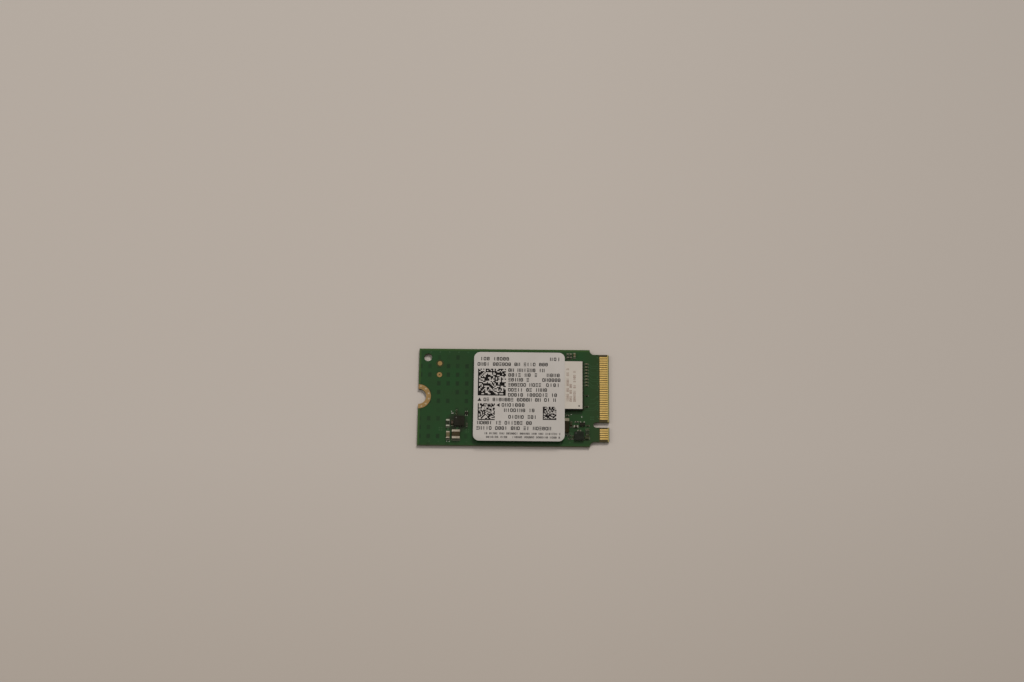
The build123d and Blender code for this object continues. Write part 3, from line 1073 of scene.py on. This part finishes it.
def label_sheet():
    low, high = node_box("main_label")
    low += Vector((*LABEL_INSET_LOW, 0))
    high -= Vector((*LABEL_INSET_HIGH, 0))
    centre = (low + high) / 2
    label = sheet(high.x - low.x, high.y - low.y, centre=(centre.x, centre.y), level=high.z)
    open_for_edit(label, "VERT", "SELECT")
    bpy.ops.mesh.bevel(offset=LABEL_CORNER, segments=8, affect="VERTICES")
    for axis, normal in ((0, (1, 0, 0)), (1, (0, 1, 0))):
        cut = low[axis] + LABEL_GRID
        while cut < high[axis]:
            point = [centre.x, centre.y, high.z]
            point[axis] = cut
            bpy.ops.mesh.select_all(action="SELECT")
            bpy.ops.mesh.bisect(plane_co=point, plane_no=normal)
            cut += LABEL_GRID
    close_edit()
    apply_modifier(label, "SOLIDIFY", thickness=high.z - low.z, offset=-1)
    soften(label, LABEL_EDGE, 2, 60)
    return drape(coat(label, LABEL_WHITE))


def thickened(piece):
    return apply_modifier(piece, "SOLIDIFY", thickness=PRINT_THICKNESS, offset=1)


# Marks of print, each one high


def mark_frame():
    """A hollow upright box with rounded corners."""
    mark = sheet(0.72, 1)
    open_for_edit(mark, "VERT", "SELECT")
    bpy.ops.mesh.bevel(offset=0.2, segments=3, affect="VERTICES")
    bpy.ops.mesh.select_mode(type="FACE")
    bpy.ops.mesh.select_all(action="SELECT")
    bpy.ops.mesh.inset(thickness=0.21)
    bpy.ops.mesh.delete(type="FACE")
    close_edit()
    return thickened(mark)


def mark_bars(count, length, width, step):
    """Parallel strokes, each moved on from the last by the step."""
    strokes = []
    for i in range(count):
        share = i - (count - 1) / 2
        strokes.append(sheet(length, width, centre=(share * step[0], share * step[1])))
    bars = joined(strokes)
    open_for_edit(bars, "VERT", "SELECT")
    bpy.ops.mesh.bevel(offset=0.03, segments=1, affect="VERTICES")
    close_edit()
    return thickened(bars)


def mark_crossed_frame():
    """The hollow box with a stroke across its middle."""
    return joined([mark_frame(), thickened(sheet(0.4, 0.17))])


def mark_kinds(material):
    """The marks to draw from. The crossed box is there twice, as it is the likeliest."""
    marks = [
        mark_frame(),
        mark_bars(1, 0.21, 1, (0.48, 0)),
        mark_bars(2, 0.21, 1, (0.48, 0)),
        mark_bars(3, 0.66, 0.2, (0, 0.4)),
        mark_crossed_frame(),
        mark_crossed_frame(),
    ]
    return [coat(mark, material) for mark in marks]


# Rows of print on the label: height of the row's middle, its start and its end along X
PRINT_ROWS = [
    (8.4, -7.5, -1.05), (8.4, 7.8, 10.3), (7.15, -8.1, 7.5), (5.8, -1.3, 6.8),
    (4.7, -1.3, 5.2), (4.7, 7.15, 10.15), (3.6, -1.3, 3.4), (3.6, 6.2, 10.3),
    (2.45, -1.3, 6.05), (2.45, 7.0, 10.15), (1.3, -1.3, 8.0), (0.15, -1.3, 10.2),
    (-0.95, -6.65, 9.3), (-2.15, -2.7, 3.2), (-3.35, -2.15, 5.3), (-4.85, -1.2, 5.1),
    (-6.2, -8.0, 4.05), (-7.4, -8.15, 8.3),
]
SMALL_PRINT_ROWS = [(-8.6, -6.4, 10.3), (-9.4, -5.95, -1.3), (-9.4, -0.3, 10.2)]
PRINT_HEIGHT = 0.8
SMALL_PRINT_HEIGHT = 0.44

# Square codes on the label: left side, lower side, side length and cells along a side
CODES = [(-7.9, -0.05, 6.15, 22), (-7.85, -5.6, 3.75, 16), (6.4, -5.45, 2.98, 14)]
CODE_FILL = 0.57

# The two filled triangles on the label: place, radius and turn
TRIANGLES = ((-7.5, -1.05, 0.52, 0.0), (-3.3, -2.2, 0.5, math.pi / 2))

# Print on the sticker, turned to read along Y: place across, start and end along Y
STICKER_COLUMNS = [(11.85, -1.3, 6.4), (12.5, -1.3, 2.8), (13.35, -1.3, 5.8)]
STICKER_PRINT_HEIGHT = 0.52

# The sticker's round dot: radius and place
STICKER_DOT = (0.17, 14.35, -2.2)

# Seeds of the random draws
LABEL_SEED = 22
STICKER_SEED = 7


def print_row(marks, start, end, height, place, draw):
    """Marks side by side from start to end, in groups like words. place gives each one's spot."""
    pitch = 0.83 * height
    count = int((end - start) / pitch)
    spare = (end - start - count * pitch) / max(count, 1)
    word = draw.randint(3, 8) if count > 5 else count + 1
    copies = []
    for i in range(count):
        word -= 1
        if word == 0:
            word = draw.randint(3, 8)
            continue
        x, y, turn = place(start + (i + 0.5) * (pitch + spare))
        copies.append(copy_of(draw.choice(marks), x, y, 0, turn, (height, height, 1)))
    return copies


def square_code(left, lower, side, cells, draw):
    """A square of filled and empty cells with two full sides, laid as one bar for each filled run."""
    cell = side / cells
    bar = coat(block(1, 1, PRINT_THICKNESS, centre=(0.5, 0.5)), FINISH["black_ink"])
    copies = []
    for row in range(cells):
        start = 0
        for column in range(1, cells + 1):
            if column < cells and (row == 0 or draw.random() < CODE_FILL):
                continue
            if column > start:
                place = (left + start * cell, lower + row * cell, 0)
                copies.append(copy_of(bar, *place, stretch=((column - start) * cell, cell, 1)))
            start = column + 1
    remove(bar)
    return joined(copies)


def filled_mark(corners, radius, x, y, turn=0.0):
    """A filled shape of equal sides, in black ink."""
    deselect_all()
    bpy.ops.mesh.primitive_circle_add(vertices=corners, radius=radius, fill_type="NGON")
    mark = shift(thickened(bpy.context.active_object), x, y, 0, turn)
    return coat(mark, FINISH["black_ink"])


def label_print():
    """Rows of plain marks and three square codes, laid on the label."""
    draw = random.Random(LABEL_SEED)
    marks = mark_kinds(FINISH["black_ink"])
    pieces = []
    for rows, height in ((PRINT_ROWS, PRINT_HEIGHT), (SMALL_PRINT_ROWS, SMALL_PRINT_HEIGHT)):
        for y, start, end in rows:
            pieces += print_row(marks, start, end, height, lambda x, y=y: (x, y, 0), draw)
    for left, lower, side, cells in CODES:
        pieces.append(square_code(left, lower, side, cells, draw))
    for x, y, radius, turn in TRIANGLES:
        pieces.append(filled_mark(3, radius, x, y, turn))
    remove(*marks)
    return drape(shift(joined(pieces), z=node_box("main_label")[1].z))


def sticker_print():
    """Faint columns of marks and one round dot on the controller's sticker."""
    draw = random.Random(STICKER_SEED)
    marks = mark_kinds(FINISH["faint_ink"])
    pieces = []
    height = STICKER_PRINT_HEIGHT
    for x, start, end in STICKER_COLUMNS:
        pieces += print_row(marks, start, end, height, lambda y, x=x: (x, y, math.pi / 2), draw)
    remove(*marks)
    pieces.append(filled_mark(20, *STICKER_DOT))
    return shift(joined(pieces), z=node_box("controller_sticker")[1].z)


# Tracks and vias under the mask, legend print and the ring's vias


def ribbons(routes, width, height, level):
    """Flat rounded tracks along routes of (x, y) points, half sunk at the level given."""
    curve = bpy.data.curves.new("tracks", "CURVE")
    curve.dimensions = "3D"
    curve.bevel_depth = width / 2
    curve.bevel_resolution = 1
    curve.use_fill_caps = True
    for route in routes:
        spline = curve.splines.new("POLY")
        spline.points.add(len(route) - 1)
        for point, (x, y) in zip(spline.points, route):
            point.co = (x, y, 0, 1)
    tracks = bpy.data.objects.new("tracks", curve)
    bpy.context.collection.objects.link(tracks)
    activate(tracks)
    bpy.ops.object.convert(target="MESH")
    tracks = shift(bpy.context.active_object, z=level, stretch=(1, 1, 2 * height / width))
    open_for_edit(tracks, "VERT", "SELECT")
    bpy.ops.mesh.remove_doubles(threshold=1e-5)
    close_edit()
    return coat(tracks, FINISH["covered_track"])


def jog(x0, y0, x1, y1, lead):
    """A route from one point to another with one slanted stretch after a straight lead."""
    step = abs(y1 - y0)
    way = math.copysign(1, x1 - x0)
    return [(x0, y0), (x0 + way * lead, y0), (x0 + way * (lead + step), y1), (x1, y1)]


def contact_y(face, number):
    """The middle of a face's contact, counted from the +Y side."""
    high = node_box(f"{face}_contacts_long_row")[1].y
    return high - CONTACT_WIDTH / 2 - number * CONTACT_PITCH


def coupled_routes():
    """Pairs of tracks from the controller through the coupling capacitors to the contacts."""
    start = node_box("top_contacts_long_row")[0].x
    edge = node_box("controller_package")[1].x
    routes = []
    for i in range(8):
        low, high = node_box(f"coupling_capacitor_{i + 1}")
        y = (low.y + high.y) / 2
        number = 4 + 3 * (i // 2) + i % 2
        routes.append(jog(high.x, y, start, contact_y("top", number), 0.25 + 0.1 * (i % 2)))
        routes.append([(edge - 0.4, y), (low.x, y)])
    return routes


def sideband_routes():
    """Single tracks from the contacts near the key slot to the parts beside them."""
    start = node_box("top_contacts_long_row")[0].x
    routes = []
    for i, number in enumerate((18, 20, 22, 23)):
        y = contact_y("top", number)
        routes.append(jog(start, y, 16.9 - 0.35 * i, y - 0.6, 0.5))
    return routes


def flash_bus_routes():
    """Two bundles of parallel tracks between the controller and the flash memory."""
    left = node_box("flash_package")[1].x
    right = node_box("controller_package")[0].x
    routes = []
    for first_y, turn in ((6.6, 0.8), (-0.4, -0.8)):
        for i in range(9):
            y = first_y - 0.4 * i
            routes.append(jog(left - 1.9 - 0.2 * (i % 2), y, right + 1.8, y + turn, 1.0))
    return routes


def contact_bus_routes():
    """Tracks from the underside's contacts towards the controller."""
    start = node_box("bottom_contacts_long_row")[0].x
    routes = []
    for i in range(8):
        y = contact_y("bottom", 3 * i + 3)
        x = 13.4 - 0.8 * (i % 3)
        routes.append(jog(start, y, x, y - 0.9, 0.7))
        routes.append(jog(start, y - CONTACT_PITCH, x, y - 1.2, 0.5))
    return routes


def power_routes():
    """Broad tracks that join the inductors to the chips that drive them."""
    return [
        [(-12.5, -7.9), (-12.2, -6.9)],
        [(-14.3, -8.0), (-14.3, -6.9), (-13.4, -6.5)],
        [(12.2, -7.9), (13.3, -8.4)],
        [(9.6, -8.2), (8.6, -8.2), (7.6, -7.2)],
    ]


def place_tracks():
    board_low, board_high = node_box("circuit_board")
    fine = ribbons(coupled_routes() + sideband_routes(), FINE_TRACK, TRACK_HEIGHT, board_high.z)
    broad = ribbons(power_routes(), BROAD_TRACK, TRACK_HEIGHT, board_high.z)
    deliver(joined([fine, broad]), "tracks_top", "solder_mask")
    hidden = flash_bus_routes() + contact_bus_routes()
    level = board_low.z + HIDDEN_TRACK_SINK
    deliver(ribbons(hidden, HIDDEN_TRACK, HIDDEN_TRACK_HEIGHT, level), "tracks_bottom", "solder_mask")


def via_dot():
    """A via under the mask: a low round land with a dimple at its middle, standing on z = 0."""
    via = disc(VIA_RADIUS, VIA_HEIGHT, 12)
    inset_top(via, (0.15 * VIA_RADIUS, 0.006), (0.35 * VIA_RADIUS, 0), (0.15 * VIA_RADIUS, -0.01))
    return coat(via, FINISH["covered_track"])


def edge_via_places():
    """Stitching vias along both long edges."""
    low, high = node_box("circuit_board")
    count = int((high.x - low.x - VIA_EDGE_SPARE) / VIA_EDGE_PITCH)
    rows = [side * (high.y - VIA_EDGE_INSET) for side in (-1, 1)]
    return [(low.x + VIA_EDGE_START + VIA_EDGE_PITCH * i, y) for i in range(count) for y in rows]


def contact_via_places():
    """A via behind every third contact, where its track goes down to the ground plane."""
    x = node_box("top_contacts_long_row")[0].x - VIA_CONTACT_GAP
    return [(x, contact_y("top", number)) for number in range(0, LONG_ROW_COUNT, 3)]


def power_via_places():
    """Small groups of vias beside the regulator and the power chip."""
    steps = [(VIA_GROUP_PITCH * i, VIA_GROUP_PITCH * j) for i in range(2) for j in range(2)]
    return [(x + right, y + up) for x, y in VIA_GROUPS for right, up in steps]


def place_vias():
    low, high = node_box("circuit_board")
    through = edge_via_places() + contact_via_places() + power_via_places()
    hidden = grid_places("flash_package", FLASH_BALL_PITCH, 1, 1)
    hidden += grid_places("controller_package", CONTROLLER_BALL_PITCH, 2, 1)
    flipped = shift(via_dot(), stretch=(1, 1, -1))
    flipped.data.flip_normals()
    deliver(scattered(via_dot(), through, high.z), "vias_top", "solder_mask")
    deliver(scattered(flipped, through + hidden, low.z + VIA_HEIGHT), "vias_bottom", "solder_mask")


def legend_marks():
    """White ink on the mask: first-pin bars and a few small dots."""
    bars = [sheet(length, width, centre=place) for length, width, place in LEGEND_MARKS]
    whole = shift(thickened(joined(bars)), z=node_box("circuit_board")[1].z)
    return coat(whole, FINISH["legend_ink"])


def ring_vias():
    """Low mounds of solder in the six plated holes round the notch."""
    low, high = node_box("notch_ring_top")
    mound = inset_top(disc(RING_VIA_RADIUS, 0.01, 16), (0.04, 0.008), (0.07, 0.005))
    coat(mound, FINISH["hole_solder"])
    turns = [math.radians(degrees) for degrees in RING_VIA_TURNS]
    reach = RING_VIA_REACH
    places = [(low.x + reach * math.cos(turn), reach * math.sin(turn)) for turn in turns]
    return scattered(mound, places, high.z)


def bottom_test_points():
    """Bare round test pads on the underside, in a row and two pairs."""
    point = coat(disc(TEST_POINT_RADIUS, TEST_POINT_HEIGHT, 20), COPPER)
    return scattered(point, TEST_POINTS, node_box("circuit_board")[0].z - TEST_POINT_HEIGHT / 2)


# Stage


def make_floor():
    """A floor painted darker towards -Y, far off and towards +X: painted light fall-off. It can't be seen
    from below, nor by rays that start right at it.
    """
    deselect_all()
    bpy.ops.mesh.primitive_plane_add(size=FLOOR_SIZE, location=(0, 0, FLOOR_LEVEL))
    floor = bpy.context.active_object
    floor.name = "floor"
    material, tree, shader = new_material("floor_paper", 0.9, level=0.1)
    axes = split(tree, place_in_mm(tree))
    shade = mix_colour(tree, ramp(tree, axes["Y"], *FLOOR_NEAR_SPAN), FLOOR_NEAR, FLOOR_MIDDLE)
    shade = mix_colour(tree, ramp(tree, axes["Y"], *FLOOR_FAR_SPAN), shade, FLOOR_FAR)
    fall_off = times(tree, ramp(tree, axes["X"], *FLOOR_FALL_OFF_SPAN), FLOOR_FALL_OFF)
    shade = mix_colour(tree, fall_off, shade, (0, 0, 0))
    tree.links.new(shade, shader.inputs["Base Color"])
    behind = tree.nodes.new("ShaderNodeNewGeometry").outputs["Backfacing"]
    length = tree.nodes.new("ShaderNodeLightPath").outputs["Ray Length"]
    hidden = calc(tree, "MAXIMUM", behind, calc(tree, "LESS_THAN", length, TOUCHING))
    clear = tree.nodes.new("ShaderNodeBsdfTransparent")
    mix_shaders(tree, hidden, shader, clear, "Material Output")
    floor.data.materials.append(material)


def make_world():
    """Even light on the card, and a backdrop for the camera and for what glossy surfaces mirror."""
    world = bpy.data.worlds.new("studio")
    bpy.context.scene.world = world
    world.use_nodes = True
    tree = world.node_tree
    light = tree.nodes["Background"]
    light.inputs["Color"].default_value = (*LIGHT_TINT, 1)
    light.inputs["Strength"].default_value = SKY_LEVEL
    path = tree.nodes.new("ShaderNodeLightPath").outputs
    up = split(tree, tree.nodes.new("ShaderNodeTexCoord").outputs["Generated"])["Z"]
    overhead = calc(tree, "MULTIPLY_ADD", ramp(tree, up, 0, 1), GLOSS_ZENITH - GLOSS_HORIZON, GLOSS_HORIZON)
    strength = add_node(tree, "ShaderNodeMix", {"data_type": "FLOAT"})
    for number, value in ((0, path["Is Glossy Ray"]), (2, 1.0), (3, overhead)):
        plug(tree, strength.inputs[number], value)
    backdrop = add_node(
        tree, "ShaderNodeBackground", Color=FLOOR_COLOUR, Strength=strength.outputs[0]
    )
    seen = calc(tree, "MAXIMUM", path["Is Camera Ray"], path["Is Glossy Ray"])
    seen = calc(tree, "MAXIMUM", seen, path["Is Transmission Ray"])
    mix_shaders(tree, seen, light, backdrop, "World Output")


def make_lamp(name, direction, level, mirrored):
    """A soft square lamp that lights the card's top, or its underside, to the level given."""
    way = Vector(direction).normalized()
    data = bpy.data.lights.new(name, "AREA")
    data.shape = "SQUARE"
    data.size = LAMP_SIZE
    data.color = LIGHT_TINT
    data.energy = level * math.pi ** 2 * LAMP_DISTANCE ** 2 / abs(way.z)
    lamp = bpy.data.objects.new(name, data)
    bpy.context.collection.objects.link(lamp)
    lamp.location = way * LAMP_DISTANCE
    lamp.rotation_mode = "QUATERNION"
    lamp.rotation_quaternion = way.to_track_quat("Z", "Y")
    lamp.visible_glossy = mirrored


def make_camera():
    data = bpy.data.cameras.new("camera")
    data.lens = CAMERA_LENS
    data.sensor_width = CAMERA_SENSOR
    data.clip_start = 0.01
    data.clip_end = 50
    camera = bpy.data.objects.new("camera", data)
    bpy.context.collection.objects.link(camera)
    azimuth = math.radians(CAMERA_AZIMUTH)
    elevation = math.radians(CAMERA_ELEVATION)
    back = Vector((
        math.sin(azimuth) * math.cos(elevation),
        -math.cos(azimuth) * math.cos(elevation),
        math.sin(elevation),
    ))
    camera.location = Vector(CAMERA_PLACE) * MM
    camera.rotation_mode = "QUATERNION"
    camera.rotation_quaternion = (-back).to_track_quat("-Z", "Y")
    bpy.context.scene.camera = camera


def finish_frame_nodes():
    finish_node("circuit_board", MASK)
    for name in ("notch_ring_top", "notch_ring_bottom", "fiducial_disc", "test_pad"):
        finish_node(name, COPPER)
    for name in ("flash_package", "controller_package"):
        finish_node(name, COMPOUND)
    finish_node("controller_sticker", STICKER_CREAM)
    finish_node("crystal", CRYSTAL)


bpy.context.scene.view_settings.view_transform = "Standard"
make_camera()
make_world()
for lamp, (direction, level, mirrored) in LAMPS.items():
    make_lamp(lamp, direction, level, mirrored)
make_floor()
finish_frame_nodes()
place_chips()
place_moulded_chips()
place_balls("flash_package", "flash_solder_balls", FLASH_BALL_PITCH)
place_balls("controller_package", "controller_solder_balls", CONTROLLER_BALL_PITCH)
place_contacts()
place_tracks()
place_vias()
deliver(label_sheet(), "main_label_sheet", "white_label", "main_label")
deliver(label_print(), "label_print", "white_label")
deliver(sticker_print(), "sticker_print", "cream_sticker")
deliver(legend_marks(), "legend_marks", "solder_mask")
deliver(ring_vias(), "ring_vias", "solder")
deliver(bottom_test_points(), "bottom_test_points", "bare_copper")
